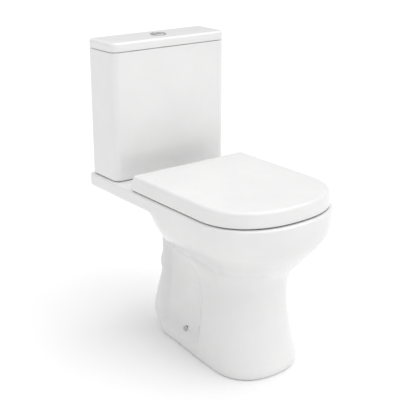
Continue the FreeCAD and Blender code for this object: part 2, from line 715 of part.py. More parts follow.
# ---- push buttons ---------------------------------------------------------------------------
def rod_centre(side, z):
    """Point on a push rod's axis, above its lever's inner end."""
    return V(side * (AXLE_X - INPUT_ARM), VALVE_Y - side * LEVER_PLANE, z)


def button_bezel():
    """Chromed ring and threaded sleeve through the lid."""
    sleeve = rod(18.5, V(0, VALVE_Y, BEZEL_FLOOR_Z - 8), LID_TOP_Z - BEZEL_FLOOR_Z + 8)
    flange = Part.makeCone(BEZEL_R, BEZEL_R - 3.0, BEZEL_PROUD, V(0, VALVE_Y, LID_TOP_Z))
    bezel = join(sleeve, flange).cut(rod(BUTTON_R + 0.4, V(0, VALVE_Y, BEZEL_FLOOR_Z), 40))
    for side in (-1, 1):
        bezel = bezel.cut(rod(ROD_R + 0.5, rod_centre(side, BEZEL_FLOOR_Z - 10), 20))
    return bezel


def bezel_nut():
    """Plastic nut that holds the bezel from under the lid."""
    return tube(25.0, 18.5, V(0, VALVE_Y, LID_TOP_Z - LID_SHELL - 7), 7.0)


def flush_button(side):
    """Part of a domed disc: the wide one for a full flush, the narrow one for a half flush."""
    base_z = BUTTON_BASE_Z
    disc = rod(BUTTON_R, V(0, VALVE_Y, base_z), BUTTON_TOP_Z - base_z)
    disc = disc.makeFillet(2.0, edges_where(disc, at_height(BUTTON_TOP_Z)))
    if side > 0:
        keep = box(BUTTON_SPLIT_X + 0.5, 30, VALVE_Y - 30, VALVE_Y + 30, base_z - 1, BUTTON_TOP_Z + 1)
    else:
        keep = box(-30, BUTTON_SPLIT_X - 0.5, VALVE_Y - 30, VALVE_Y + 30, base_z - 1, BUTTON_TOP_Z + 1)
    return disc.common(keep)


def push_rod(side):
    """Rod from a button down to its lever."""
    foot_z = AXLE_Z + 2.8
    return rod(ROD_R, rod_centre(side, foot_z), BUTTON_BASE_Z - foot_z)


def button_spring(side):
    """Coil round a push rod, between the bezel's floor and the button."""
    gap = SPRING_WIRE_R + 0.3
    low = BEZEL_FLOOR_Z + gap
    coil_height = BUTTON_BASE_Z - BEZEL_FLOOR_Z - 2 * gap
    steps = SPRING_TURNS * SPRING_SIDES
    centre = rod_centre(side, low)
    points = []
    for k in range(steps + 1):
        angle = 2 * math.pi * k / SPRING_SIDES
        points.append(centre + V(SPRING_R * math.cos(angle), SPRING_R * math.sin(angle),
                                 coil_height * k / steps))
    section = Part.Wire([Part.makeCircle(SPRING_WIRE_R, points[0], points[1] - points[0])])
    return Part.makePolygon(points).makePipeShell([section], True, False, MITRED)


# ---- seat -----------------------------------------------------------------------------------
def hinge_rod(radius, x0, x1):
    """Cylinder on the seat's hinge axis between two X positions."""
    return rod(radius, V(x0, HINGE_Y, HINGE_Z), x1 - x0, X_AXIS)


def seat_lid():
    """Wrap-over lid: a shallow shell that hides the ring, open at the hinges."""
    shell = d_slab(SEAT_LID_Z0, SEAT_LID_Z1, SEAT_HALF_WIDTH, SEAT_BACK_Y, SEAT_NOSE_Y, 11.0)
    hollow = d_slab(SEAT_LID_Z0 - 1, SEAT_LID_Z1 - LID_TOP_SKIN, SEAT_HALF_WIDTH - LID_SKIN,
                    SEAT_BACK_Y - LID_SKIN, SEAT_NOSE_Y + LID_SKIN, 7.0)
    lid = shell.cut(hollow).cut(box(-120, 120, 100, 130, SEAT_LID_Z0 - 1, 453))
    for side in (-1, 1):
        x0, x1 = sorted((side * 46.0, side * 66.5))
        web = box(x0, x1, RING_BACK_Y + 2, HINGE_Y, HINGE_Z, 447)
        rib = box(x0, x1, 104, 116, 447, SEAT_LID_Z1 - 4)
        lid = join(lid, web, rib, hinge_rod(9.0, x0, x1)).cut(hinge_rod(PIN_R + 0.06, x0 - 1, x1 + 1))
    return lid


def lid_buffers():
    """Four soft pads between lid and ring."""
    pads = [
        rod(7.0, V(side * x, y, RING_Z1 + RIM_GAP), SEAT_LID_Z1 - LID_TOP_SKIN - RING_Z1 - RIM_GAP)
        for side in (-1, 1) for x, y in ((140.0, 40.0), (110.0, -225.0))
    ]
    return group(*pads)


def seat_ring():
    """Seat with its oval hole and two hinge knuckles."""
    half_width = SEAT_HALF_WIDTH - RING_INSET
    ring = d_slab(RING_Z0, RING_Z1, half_width, RING_BACK_Y, SEAT_NOSE_Y + RING_INSET, 5.0)
    hole_wire = oval(RING_Z0 - 1, lambda y: SEAT_HOLE_HALF_WIDTH, SEAT_HOLE_REAR_Y, 130.0,
                     SEAT_HOLE_NOSE_Y, 130.0)
    hole = Part.Face(hole_wire).extrude(V(0, 0, 40))
    ring = ring.cut(hole)
    for side in (-1, 1):
        x0, x1 = sorted((side * 89.5, side * 112.0))
        web = box(x0, x1, 98, HINGE_Y, 429, RING_Z1)
        ring = join(ring, web, hinge_rod(8.5, x0, x1)).cut(hinge_rod(PIN_R + 0.06, x0 - 1, x1 + 1))
    return ring


def ring_buffers():
    """Four soft pads between ring and rim."""
    pads = [
        rod(8.0, V(side * x, y, RIM_Z + RIM_GAP), RING_Z0 - RIM_Z - RIM_GAP)
        for side in (-1, 1) for x, y in ((145.0, 40.0), (118.0, -225.0))
    ]
    return group(*pads)


def hinge_bases():
    """Two pillars that carry the hinge pins over the rim."""
    foot = rod(16.0, V(HINGE_X, HINGE_Y, RIM_Z + 1.5), 4.0)
    pillar = box(HINGE_X - 10, HINGE_X + 10, HINGE_Y - 9, HINGE_Y + 9, RIM_Z + 4, HINGE_Z)
    head = hinge_rod(9.0, HINGE_X - 10, HINGE_X + 10)
    bore = hinge_rod(PIN_R, HINGE_X - 20, HINGE_X + 20)
    stud = rod(4.0, V(HINGE_X, HINGE_Y, RIM_Z - 5), 15)
    return both_sides(join(foot, pillar, head).cut(bore).cut(stud))


def hinge_washers():
    """Rubber washers under the hinge bases."""
    return both_sides(tube(15.5, 6.0, V(HINGE_X, HINGE_Y, RIM_Z), 1.5))


def hinge_studs():
    """Threaded studs from the bases down through the rim."""
    return both_sides(rod(4.0, V(HINGE_X, HINGE_Y, 366), RIM_Z + 9 - 366))


def hinge_nuts():
    """Wing nuts under the rim."""
    base = V(HINGE_X, HINGE_Y, RIM_Z - DECK - 12.5)
    return both_sides(wing_nut(base, 12.0, 4.0, hub=8.0, span=14.0))


def hinge_pin(side):
    """Damper pin through the lid's knuckle, the base and the ring's knuckle."""
    x0, x1 = sorted((side * 46.5, side * 111.5))
    return hinge_rod(PIN_R, x0, x1)


# ---- floor fixings --------------------------------------------------------------------------
def floor_screws():
    """Inclined screws through the foot into the floor brackets."""
    screws = []
    for side in (-1, 1):
        direction = screw_direction(side)
        shank = rod(2.5, along_screw(side, 0.5), 44, direction)
        head = rod(4.6, along_screw(side, -2.5), 3.0, direction)
        screws.append(join(shank, head))
    return group(*screws)


def screw_sleeves():
    """Plastic sleeves that line the holes in the foot."""
    sleeves = []
    for side in (-1, 1):
        direction = screw_direction(side)
        barrel = rod(5.0, along_screw(side, 0.5), 12, direction)
        collar = rod(6.5, along_screw(side, -0.6), 1.1, direction)
        bore = rod(2.5, along_screw(side, -1), 20, direction)
        head_room = rod(4.6, along_screw(side, -1), 1.5, direction)
        sleeves.append(join(barrel, collar).cut(bore).cut(head_room))
    return group(*sleeves)


def screw_caps():
    """Domed chrome caps over the screw heads."""
    caps = []
    for side in (-1, 1):
        direction = screw_direction(side)
        cap = rod(6.5, along_screw(side, -4.6), 4.0, direction)
        outer_rim = [edge for edge in cap.Edges
                     if (edge.BoundBox.Center - along_screw(side, -4.6)).Length < 0.5]
        cap = cap.makeFillet(2.5, outer_rim).cut(rod(4.8, along_screw(side, -3.2), 5, direction))
        caps.append(cap)
    return group(*caps)


def floor_brackets():
    """Blocks fixed to the floor inside the foot that take the screws."""
    blocks = []
    for side in (-1, 1):
        x0, x1 = sorted((side * 44.0, side * 74.0))
        block = box(x0, x1, SCREW_Y - 12, SCREW_Y + 12, 0, 24)
        blocks.append(block.cut(rod(2.5, along_screw(side, -10), 80, screw_direction(side))))
    return group(*blocks)


# ---- build ----------------------------------------------------------------------------------
def nodes():
    """Every node by name."""
    return {
        **pan_pieces(),
        "cistern_body": cistern_body(),
        "cistern_pads": cistern_pads(),
        "cistern_lid": cistern_lid(),
        "coupling_gasket": coupling_gasket(),
        "coupling_bolts": coupling_bolts(),
        "coupling_rubber_washers": coupling_rubber_washers(),
        "coupling_steel_washers": coupling_steel_washers(),
        "coupling_wing_nuts": coupling_wing_nuts(),
        "flush_valve_base": flush_valve_base(),
        "flush_valve_gasket": flush_valve_gasket(),
        "flush_valve_backnut": flush_valve_backnut(),
        "flush_valve_tower": flush_valve_tower(),
        "tower_cap": tower_cap(),
        "lever_axles": lever_axles(),
        "valve_canister": valve_canister(),
        "valve_seal": valve_seal(),
        "canister_yoke": canister_yoke(),
        "full_flush_lever": lift_lever(1),
        "half_flush_lever": lift_lever(-1),
        "fill_valve_shank": fill_valve_shank(),
        "fill_valve_gasket": fill_valve_gasket(),
        "fill_valve_backnut": fill_valve_backnut(),
        "fill_valve_head": fill_valve_head(),
        "float_arm": float_arm(),
        "float_arm_pin": float_arm_pin(),
        "float_cup": float_cup(),
        "float_link": float_link(),
        "refill_tube": refill_tube(),
        "button_bezel": button_bezel(),
        "bezel_nut": bezel_nut(),
        "full_flush_button": flush_button(1),
        "half_flush_button": flush_button(-1),
        "full_push_rod": push_rod(1),
        "half_push_rod": push_rod(-1),
        "full_button_spring": button_spring(1),
        "half_button_spring": button_spring(-1),
        "seat_ring": seat_ring(),
        "ring_buffers": ring_buffers(),
        "seat_lid": seat_lid(),
        "lid_buffers": lid_buffers(),
        "hinge_bases": hinge_bases(),
        "hinge_washers": hinge_washers(),
        "hinge_studs": hinge_studs(),
        "hinge_nuts": hinge_nuts(),
        "seat_damper_pin": hinge_pin(1),
        "lid_damper_pin": hinge_pin(-1),
        "floor_screws": floor_screws(),
        "screw_sleeves": screw_sleeves(),
        "screw_caps": screw_caps(),
        "floor_brackets": floor_brackets(),
    }


def main():
    """Write one STEP file per node."""
    os.makedirs("parts", exist_ok=True)
    for name, shape in nodes().items():
        shape.exportStep(f"parts/{name}.step")


main()
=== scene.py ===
import json
import math

import bpy
import numpy as np
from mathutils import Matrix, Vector


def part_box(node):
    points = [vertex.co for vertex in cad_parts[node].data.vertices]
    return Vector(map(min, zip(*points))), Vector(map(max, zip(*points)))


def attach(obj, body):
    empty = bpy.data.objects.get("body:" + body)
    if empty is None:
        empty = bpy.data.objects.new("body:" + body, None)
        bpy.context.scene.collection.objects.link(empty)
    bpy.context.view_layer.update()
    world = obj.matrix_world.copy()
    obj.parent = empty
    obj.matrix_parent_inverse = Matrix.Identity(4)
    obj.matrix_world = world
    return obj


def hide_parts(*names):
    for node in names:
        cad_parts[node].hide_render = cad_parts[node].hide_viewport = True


# Looks of a close coupled toilet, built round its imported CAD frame.
# Shapes are worked out in millimetres, as in the CAD, and turned into metres when a mesh is made.

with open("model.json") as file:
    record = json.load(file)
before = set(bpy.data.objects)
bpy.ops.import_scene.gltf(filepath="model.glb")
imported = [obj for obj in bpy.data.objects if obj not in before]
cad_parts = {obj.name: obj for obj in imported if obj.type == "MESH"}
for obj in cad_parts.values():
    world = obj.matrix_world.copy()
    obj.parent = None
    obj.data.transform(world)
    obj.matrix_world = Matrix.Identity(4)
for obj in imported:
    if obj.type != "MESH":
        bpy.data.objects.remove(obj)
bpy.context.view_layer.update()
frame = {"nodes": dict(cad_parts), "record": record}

MM = 0.001


def node_limits(name):
    """Lowest and highest corner of a CAD node, in millimetres."""
    low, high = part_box(name)
    return np.array(low) / MM, np.array(high) / MM


BOWL_LOW, BOWL_HIGH = node_limits("pan_bowl")
SHELF_HIGH = node_limits("pan_shelf")[1]
CISTERN_LOW, CISTERN_HIGH = node_limits("cistern_body")
LID_LOW, LID_HIGH = node_limits("cistern_lid")
COVER_LOW, COVER_HIGH = node_limits("seat_lid")
BUTTON_LOW, BUTTON_HIGH = node_limits("full_flush_button")
BEZEL_LOW, BEZEL_HIGH = node_limits("button_bezel")
PIN_LOW, PIN_HIGH = node_limits("seat_damper_pin")

RIM_Z = BOWL_HIGH[2]
BACK_Y = SHELF_HIGH[1]
NOSE_Y = BOWL_LOW[1]
RIM_HALF_WIDTH = BOWL_HIGH[0]
VALVE_Y = 0.5 * (CISTERN_LOW[1] + CISTERN_HIGH[1])
HINGE_Y = 0.5 * (PIN_LOW[1] + PIN_HIGH[1])
HINGE_Z = 0.5 * (PIN_LOW[2] + PIN_HIGH[2])


# ---- materials --------------------------------------------------------------------------------
def new_material(name):
    """Empty node material with its Principled shader."""
    material = bpy.data.materials.new(name)
    material.use_nodes = True
    return material, material.node_tree, material.node_tree.nodes["Principled BSDF"]


def noise(tree, scale, detail=3.0, roughness=0.5, stretch=(1, 1, 1)):
    """Noise over the surface's own coordinates."""
    coordinates = tree.nodes.new("ShaderNodeTexCoord")
    mapping = tree.nodes.new("ShaderNodeMapping")
    mapping.inputs["Scale"].default_value = stretch
    texture = tree.nodes.new("ShaderNodeTexNoise")
    texture.inputs["Scale"].default_value = scale
    texture.inputs["Detail"].default_value = detail
    texture.inputs["Roughness"].default_value = roughness
    tree.links.new(coordinates.outputs["Object"], mapping.inputs["Vector"])
    tree.links.new(mapping.outputs["Vector"], texture.inputs["Vector"])
    return texture.outputs["Fac"]


def ramp(tree, factor, low, high, start=0.3, end=0.7):
    """Colour ramp between two colours."""
    node = tree.nodes.new("ShaderNodeValToRGB")
    node.color_ramp.elements[0].position = start
    node.color_ramp.elements[1].position = end
    node.color_ramp.elements[0].color = (*low, 1)
    node.color_ramp.elements[1].color = (*high, 1)
    tree.links.new(factor, node.inputs["Fac"])
    return node.outputs["Color"]


def spread(tree, factor, low, high):
    """Factor from 0 to 1 turned into a value from low to high."""
    node = tree.nodes.new("ShaderNodeMapRange")
    node.inputs["To Min"].default_value = low
    node.inputs["To Max"].default_value = high
    tree.links.new(factor, node.inputs["Value"])
    return node.outputs["Result"]


def bump(tree, shader, height, distance, strength=1.0, after=None):
    """Fine relief, in metres, on top of an earlier one if given."""
    node = tree.nodes.new("ShaderNodeBump")
    node.inputs["Distance"].default_value = distance
    node.inputs["Strength"].default_value = strength
    tree.links.new(height, node.inputs["Height"])
    if after is not None:
        tree.links.new(after, node.inputs["Normal"])
    tree.links.new(node.outputs["Normal"], shader.inputs["Normal"])
    return node.outputs["Normal"]


def surface(name, low, high, rough, grain, relief, metallic=0.0, coat=0.0, stretch=(1, 1, 1), tone=12.0):
    """Material whose colour, roughness and relief vary: rough is (low, high), grain its noise scale."""
    material, tree, shader = new_material(name)
    shader.inputs["Metallic"].default_value = metallic
    shader.inputs["Coat Weight"].default_value = coat
    shader.inputs["Coat Roughness"].default_value = 0.04
    tree.links.new(ramp(tree, noise(tree, tone, 4.0), low, high), shader.inputs["Base Color"])
    fine = noise(tree, grain, 3.0, 0.55, stretch)
    tree.links.new(spread(tree, fine, *rough), shader.inputs["Roughness"])
    bump(tree, shader, fine, relief)
    return material


def glazed(name, low, high):
    """Vitreous glaze: faint tone drift, slow waviness and orange peel."""
    material, tree, shader = new_material(name)
    shader.inputs["IOR"].default_value = 1.52
    shader.inputs["Coat Weight"].default_value = 0.35
    shader.inputs["Coat Roughness"].default_value = 0.03
    tree.links.new(ramp(tree, noise(tree, 7.0, 5.0), low, high), shader.inputs["Base Color"])
    tree.links.new(spread(tree, noise(tree, 55.0, 4.0), 0.07, 0.17), shader.inputs["Roughness"])
    slow = bump(tree, shader, noise(tree, 18.0, 2.0), 0.0004)
    bump(tree, shader, noise(tree, 230.0, 2.0), 0.00004, 1.0, slow)
    return material


MATERIALS = {
    "ceramic_white": glazed("glaze", (0.775, 0.775, 0.773), (0.815, 0.815, 0.812)),
    "seat_white": surface(
        "moulded_seat", (0.775, 0.775, 0.773), (0.81, 0.81, 0.807), (0.14, 0.24), 320.0, 0.00003,
        coat=0.2),
    "chrome": surface(
        "chrome_plate", (0.50, 0.51, 0.53), (0.62, 0.63, 0.65), (0.05, 0.12), 260.0, 0.00002,
        metallic=1.0),
    "rubber_black": surface(
        "black_rubber", (0.018, 0.018, 0.019), (0.035, 0.034, 0.033), (0.55, 0.78), 700.0, 0.00006),
    "buffer_grey": surface(
        "soft_buffer", (0.60, 0.61, 0.62), (0.70, 0.71, 0.72), (0.40, 0.58), 500.0, 0.00004),
    "zinc_steel": surface(
        "zinc_plate", (0.55, 0.56, 0.55), (0.70, 0.70, 0.67), (0.24, 0.42), 420.0, 0.00004,
        metallic=1.0),
    "valve_plastic": surface(
        "valve_moulding", (0.70, 0.71, 0.70), (0.78, 0.79, 0.78), (0.30, 0.44), 450.0, 0.00004),
    "float_plastic": surface(
        "float_moulding", (0.16, 0.25, 0.36), (0.21, 0.31, 0.43), (0.34, 0.48), 450.0, 0.00004),
    "nylon_white": surface(
        "nylon", (0.76, 0.75, 0.71), (0.83, 0.82, 0.79), (0.36, 0.50), 500.0, 0.00005),
    "foam_grey": surface(
        "cell_foam", (0.16, 0.16, 0.165), (0.27, 0.27, 0.275), (0.80, 0.95), 900.0, 0.0003),
    "damper_steel": surface(
        "turned_steel", (0.48, 0.48, 0.49), (0.62, 0.62, 0.63), (0.20, 0.34), 500.0, 0.00003,
        metallic=1.0, stretch=(12, 1, 1)),
}


def dress_cad_nodes():
    """Every CAD node takes the procedural material of its slot."""
    slots = {part["node"]: part["material_slot"] for part in frame["record"]["subparts"]}
    for name, node in frame["nodes"].items():
        node.data.materials.clear()
        node.data.materials.append(MATERIALS[slots[name]])


dress_cad_nodes()


# ---- meshes -----------------------------------------------------------------------------------
SHARP_ANGLE = 40.0


def make_piece(name, vertices, faces, slot, body, *nodes, sharp=SHARP_ANGLE):
    """Smooth piece from millimetre vertices, riding on a body in place of CAD nodes."""
    mesh = bpy.data.meshes.new(name)
    mesh.from_pydata((np.asarray(vertices) * MM).tolist(), [], faces)
    mesh.validate()
    mesh.shade_smooth()
    if sharp:
        mesh.set_sharp_from_angle(angle=math.radians(sharp))
    mesh.materials.append(MATERIALS[slot])
    piece = bpy.data.objects.new(name, mesh)
    bpy.context.scene.collection.objects.link(piece)
    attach(piece, body)
    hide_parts(*nodes)
    return piece


def smoothstep(low, high, value):
    """0 below low, 1 above high, eased between."""
    t = np.clip((value - low) / (high - low), 0.0, 1.0)
    return t * t * (3 - 2 * t)


def round_max(a, b, radius):
    """Intersection of two solids whose meeting edge has a radius."""
    u = np.maximum(a + radius, 0.0)
    v = np.maximum(b + radius, 0.0)
    return np.minimum(np.maximum(a, b), -radius) + np.sqrt(u * u + v * v)


def soft_min(a, b, width):
    """Union of two solids with a soft hollow fillet of about that width."""
    h = np.maximum(width - np.abs(a - b), 0.0) / width
    return np.minimum(a, b) - h * h * width * 0.25


def eased_rows(rows, z):
    """Columns of a table at heights z: smooth between its rows, with no overshoot."""
    table = np.array(rows, float)
    levels = table[:, 0]
    step = np.diff(levels)
    index = np.clip(np.searchsorted(levels, z) - 1, 0, len(levels) - 2)
    t = np.clip((z - levels[index]) / step[index], 0.0, 1.0)
    columns = []
    for values in table[:, 1:].T:
        slope = np.diff(values) / step
        tangent = np.concatenate([[slope[0]], 0.5 * (slope[1:] + slope[:-1]), [slope[-1]]])
        turning = np.concatenate([[False], slope[1:] * slope[:-1] <= 0, [False]])
        tangent[turning] = 0.0
        limit = 3 * np.minimum(np.abs(np.concatenate([slope[:1], slope])),
                               np.abs(np.concatenate([slope, slope[-1:]])))
        tangent = np.clip(tangent, -limit, limit)
        a, b = values[index], values[index + 1]
        da, db = tangent[index] * step[index], tangent[index + 1] * step[index]
        square, cube = 3 * (b - a) - 2 * da - db, 2 * (a - b) + da + db
        columns.append(a + t * da + t * t * square + t ** 3 * cube)
    return columns


def surface_net(field, low, high, step):
    """Quads on the zero surface of a field, one vertex for each cell that it crosses."""
    axes = [np.arange(a - step, b + 2 * step, step) for a, b in zip(low, high)]
    x, y, z = np.meshgrid(*axes, indexing="ij", sparse=True)
    values = field(x, y, z)
    inside = values < 0
    cells = tuple(n - 1 for n in values.shape)
    total = np.zeros(cells + (3,))
    count = np.zeros(cells)
    crossings = []
    for axis in range(3):
        first = [slice(None)] * 3
        second = [slice(None)] * 3
        first[axis] = slice(None, -1)
        second[axis] = slice(1, None)
        a, b = values[tuple(first)], values[tuple(second)]
        crossed = inside[tuple(first)] != inside[tuple(second)]
        t = np.where(crossed, a / np.where(crossed, a - b, 1.0), 0.0)
        crossings.append((crossed, inside[tuple(first)]))
        across = [k for k in range(3) if k != axis]
        for du in (0, 1):
            for dv in (0, 1):
                window = [slice(None)] * 3
                window[across[0]] = slice(du, cells[across[0]] + du)
                window[across[1]] = slice(dv, cells[across[1]] + dv)
                hit = crossed[tuple(window)]
                total[..., axis] += t[tuple(window)]
                total[..., across[0]] += hit * du
                total[..., across[1]] += hit * dv
                count += hit
    used = np.argwhere(count > 0)
    number = np.full(cells, -1)
    number[tuple(used.T)] = np.arange(len(used))
    place = total[tuple(used.T)] / count[tuple(used.T)][:, None]
    points = np.array([a[0] for a in axes]) + (used + place) * step
    quads = []
    for axis, (crossed, leaving) in enumerate(crossings):
        u, v = (axis + 1) % 3, (axis + 2) % 3
        where = np.argwhere(crossed)
        ring = []
        for du, dv in ((-1, -1), (0, -1), (0, 0), (-1, 0)):
            cell = where.copy()
            cell[:, u] += du
            cell[:, v] += dv
            ring.append(number[tuple(cell.T)])
        ring = np.stack(ring, 1)
        outward = leaving[tuple(where.T)]
        quads.append(np.where(outward[:, None], ring, ring[:, ::-1]))
    return points, np.concatenate(quads)


def gradient(field, points, reach=0.05):
    """Slope of a field at points."""
    slopes = []
    for axis in range(3):
        shift = np.zeros(3)
        shift[axis] = reach
        ahead, behind = points + shift, points - shift
        slopes.append((field(*ahead.T) - field(*behind.T)) / (2 * reach))
    return np.stack(slopes, 1)


def settle(field, points, step, rounds=3):
    """Points moved onto the zero surface of a field."""
    for _ in range(rounds):
        slope = gradient(field, points)
        size = np.maximum((slope * slope).sum(1), 1e-4)
        move = -(field(*points.T) / size)[:, None] * slope
        length = np.linalg.norm(move, axis=1)
        # No point moves by more than 0.7 of a cell at a time
        points = points + move * np.minimum(1.0, 0.7 * step / np.maximum(length, 1e-9))[:, None]
    return points


def relaxed(points, quads, field, step, rounds=2):
    """Points evened out along the surface."""
    start = quads.ravel()
    end = np.roll(quads, -1, 1).ravel()
    both = np.concatenate([start, end]), np.concatenate([end, start])
    degree = np.bincount(both[0], minlength=len(points))
    for _ in range(rounds):
        mean = [np.bincount(both[0], points[both[1], k], len(points)) / degree for k in range(3)]
        points = settle(field, 0.5 * (points + np.stack(mean, 1)), step, 2)
    return points


def field_piece(name, field, low, high, step, slot, body, *nodes):
    """Piece on the zero surface of a field, shaded by the field's own slope."""
    points, quads = surface_net(field, low, high, step)
    points = settle(field, points, step)
    points = relaxed(points, quads, field, step)
    piece = make_piece(name, points, quads.tolist(), slot, body, *nodes, sharp=0)
    normals = gradient(field, points)
    normals /= np.maximum(np.linalg.norm(normals, axis=1), 1e-9)[:, None]
    piece.data.normals_split_custom_set_from_vertices(normals.tolist())
    return piece


# ---- pan --------------------------------------------------------------------------------------
WALL = 10.0
DECK = 14.0
NOSE_POWER = 2.3
BOWL_START_Z = 226.0
BASIN_POWER = 2.2
BASIN_FLOOR_Z = 196.0
RIM_EDGE_R = 7.0
RIM_MOUTH_R = 9.0
SIDE_EASE = (-140.0, 120.0)
# Slab that the cistern stands on
SHELF_SIDE_INSET = 1.5
SHELF_FRONT_Y = -40.0
SHELF_UNDERSIDE_Z = 384.0
SHELF_CORNER_R = 12.0
SHELF_EDGE_R = 10.0
# Open pockets in its underside: middle and half size in X and Y, and the lowest Z
POCKET_X = (117.5, 55.5)
POCKET_Y = (235.5, 70.5)
POCKET_Z = 376.0
# Rib under the slab, and the flush way in it
DUCT_HALF_WIDTH = 62.0
DUCT_UNDERSIDE_Z = 350.0
DUCT_FRONT_Y = 100.0
DUCT_BACK_Y = 306.0
DUCT_EDGE_R = 16.0
DUCT_END_R = 6.0
DUCT_FILLET = 10.0
FLUSH_Z = 378.0
FLUSH_R = 16.0
FLUSH_FRONT_Y = 40.0
FLUSH_WALL = 10.0
FLUSH_PAST_VALVE = 40.0
WELL_R = 27.0
WELL_Z = 362.0
GASKET_SEAT_R = 52.0
GASKET_SEAT_Z = 391.0
# Column under the bowl: height, rear Y, length and squareness of the rear rounding, half width at the
# rear and in front, nose Y, nose length
COLUMN = [
    (0.0, 122.0, 24.0, 3.5, 91.0, 108.0, -240.0, 98.0),
    (6.0, 124.0, 24.0, 3.5, 94.0, 111.0, -244.5, 98.0),
    (14.0, 127.0, 24.0, 3.5, 96.0, 112.0, -246.0, 98.0),
    (34.0, 140.0, 24.0, 3.5, 97.0, 110.0, -243.0, 98.0),
    (64.0, 156.0, 24.0, 3.5, 97.0, 105.0, -238.0, 98.0),
    (115.0, 152.0, 24.0, 3.5, 91.0, 99.0, -231.0, 98.0),
    (180.0, 137.0, 24.0, 3.5, 85.0, 93.0, -223.0, 98.0),
    (215.0, 135.0, 24.0, 3.5, 84.0, 93.5, -223.5, 99.0),
    (240.0, 134.0, 24.0, 3.5, 84.0, 98.0, -228.5, 104.0),
    (262.0, 134.0, 24.0, 3.5, 84.0, 108.5, -240.5, 113.0),
    (290.0, 134.0, 24.0, 3.5, 84.0, 128.0, -264.0, 130.0),
    (320.0, 134.0, 24.0, 3.5, 84.0, 148.0, -284.0, 142.0),
]
# Outside of the bowl, in the same columns
BOWL = [
    (225.0, 40.0, 60.0, 2.3, 20.0, 24.0, -150.0, 90.0),
    (240.0, 100.0, 60.0, 2.3, 56.0, 60.0, -190.0, 100.0),
    (262.0, 132.0, 80.0, 2.3, 88.0, 98.0, -229.0, 114.0),
    (275.0, 136.0, 100.0, 2.3, 104.0, 109.0, -242.0, 122.0),
    (290.0, 138.0, 120.0, 2.3, 118.0, 124.0, -259.0, 130.0),
    (320.0, 142.0, 160.0, 2.2, 150.0, 153.0, -288.0, 145.0),
    (352.0, 148.0, 185.0, 2.2, 173.0, 175.0, -308.0, 152.0),
    (384.0, 160.0, 190.0, 2.2, 182.0, 182.0, -315.0, 157.0),
    (402.0, 160.0, 190.0, 2.2, RIM_HALF_WIDTH, RIM_HALF_WIDTH, NOSE_Y, 158.0),
    (430.0, 160.0, 190.0, 2.2, 182.0, 182.0, NOSE_Y + 1, 157.0),
]
# Hollow in each side of the column: where its sloping floor ends at each height, and the depth of each
# of the two steps that it is made of
RECESS_Z = [48.0, 77.0, 119.0, 142.0, 178.0, 262.0]
RECESS_FLOOR_Y = [-30.0, -8.0, 39.0, 58.0, 72.0, 84.0]
RECESS_STEP = 8.0
# Basin: height, half width, rear Y, nose Y
BASIN = [
    (195.0, 20.0, -66.0, -136.0),
    (205.0, 34.0, -52.0, -150.0),
    (235.0, 62.0, -16.0, -186.0),
    (280.0, 88.0, 16.0, -218.0),
    (330.0, 106.0, 40.0, -240.0),
    (385.0, 116.0, 56.0, -252.0),
    (430.0, 118.0, 60.0, -254.0),
]
# Middle of the waterway in the plane X = 0: down from the sump, over the weir, out to the spigot
TRAP = [(-101, 215), (-90, 135), (-25, 125), (25, 238), (88, 232), (116, 180), (162, 180)]
TRAP_R = 27.0
TRAP_WALL = 7.5
TRAP_BEND = 14.0
SUMP_FILLET = 16.0
OUTLET_Z = 180.0
OUTLET_R = 51.0
OUTLET_BORE_R = 41.0
OUTLET_COLLAR_R = 57.0
OUTLET_ROOT_Y = 153.0
OUTLET_END_Y = 176.0
OUTLET_START_Y = 100.0
OUTLET_BORE_Y = 128.0
COLLAR_EDGE_R = 3.0
COLLAR_FILLET = 8.0
SPIGOT_EDGE_R = 2.0
# Holes through the shelf and the rim
SHELF_HOLE_Z = 380.0
COUPLING_X = 80.0
COUPLING_HOLE_R = 6.5
FILL_X = 125.0
FILL_HOLE_R = 24.0
HINGE_X = 77.5
HINGE_HOLE_R = 6.0
HINGE_HOLE_Z = 330.0
# Where each sloping floor screw meets the foot
SCREW_X = 88.0
SCREW_Y = 13.0
SCREW_Z = 51.0
SPOT_FACE_R = 6.8
SPOT_FACE_DEPTH = 0.6
SCREW_HOLE_R = 5.0
SCREW_HOLE_DEPTH = 25.0


def oval_field(x, y, width, rear_y, rear_run, rear_power, nose_y, nose_run):
    """How far a point lies outside an oval with straight sides."""
    ahead = np.maximum(nose_y + nose_run - y, 0.0) / nose_run
    behind = np.maximum(y - rear_y + rear_run, 0.0) / rear_run
    power = np.where(ahead > 0, NOSE_POWER, rear_power)
    side = (np.abs(x) / width) ** power
    end = np.maximum(ahead, behind) ** power
    total = side + end
    run = np.where(ahead > 0, nose_run, rear_run)
    scale = (side * width + end * run) / np.maximum(total, 1e-9)
    return (total ** (1 / power) - 1) * scale


def tapering_width(y, rear_width, front_width):
    """Half width that eases from the front value to the rear one."""
    return front_width + (rear_width - front_width) * smoothstep(*SIDE_EASE, y)


def side_recess(y, z):
    """Depth of the hollow in each side of the column."""
    # The front edge of the hollow is upright low down and swings back under the bowl
    front = -69.0 + 74.0 * np.clip((z - 150.0) / 112.0, 0.0, 1.2) ** 2.2
    floor = np.interp(z, RECESS_Z, RECESS_FLOOR_Y)
    step = smoothstep(front, front + 24.0, y)
    slope = smoothstep(front, np.maximum(floor, front + 12.0), y)
    depth = RECESS_STEP * step + RECESS_STEP * slope
    # It fades out above the foot and before the back edge
    return depth * smoothstep(24.0, 60.0, z) * (1 - smoothstep(92.0, 126.0, y))


def column_field(x, y, z):
    """Foot and column."""
    rear_y, rear_run, rear_power, rear_width, front_width, nose_y, nose_run = eased_rows(COLUMN, z)
    width = tapering_width(y, rear_width, front_width) - side_recess(y, z)
    return oval_field(x, y, width, rear_y, rear_run, rear_power, nose_y, nose_run)


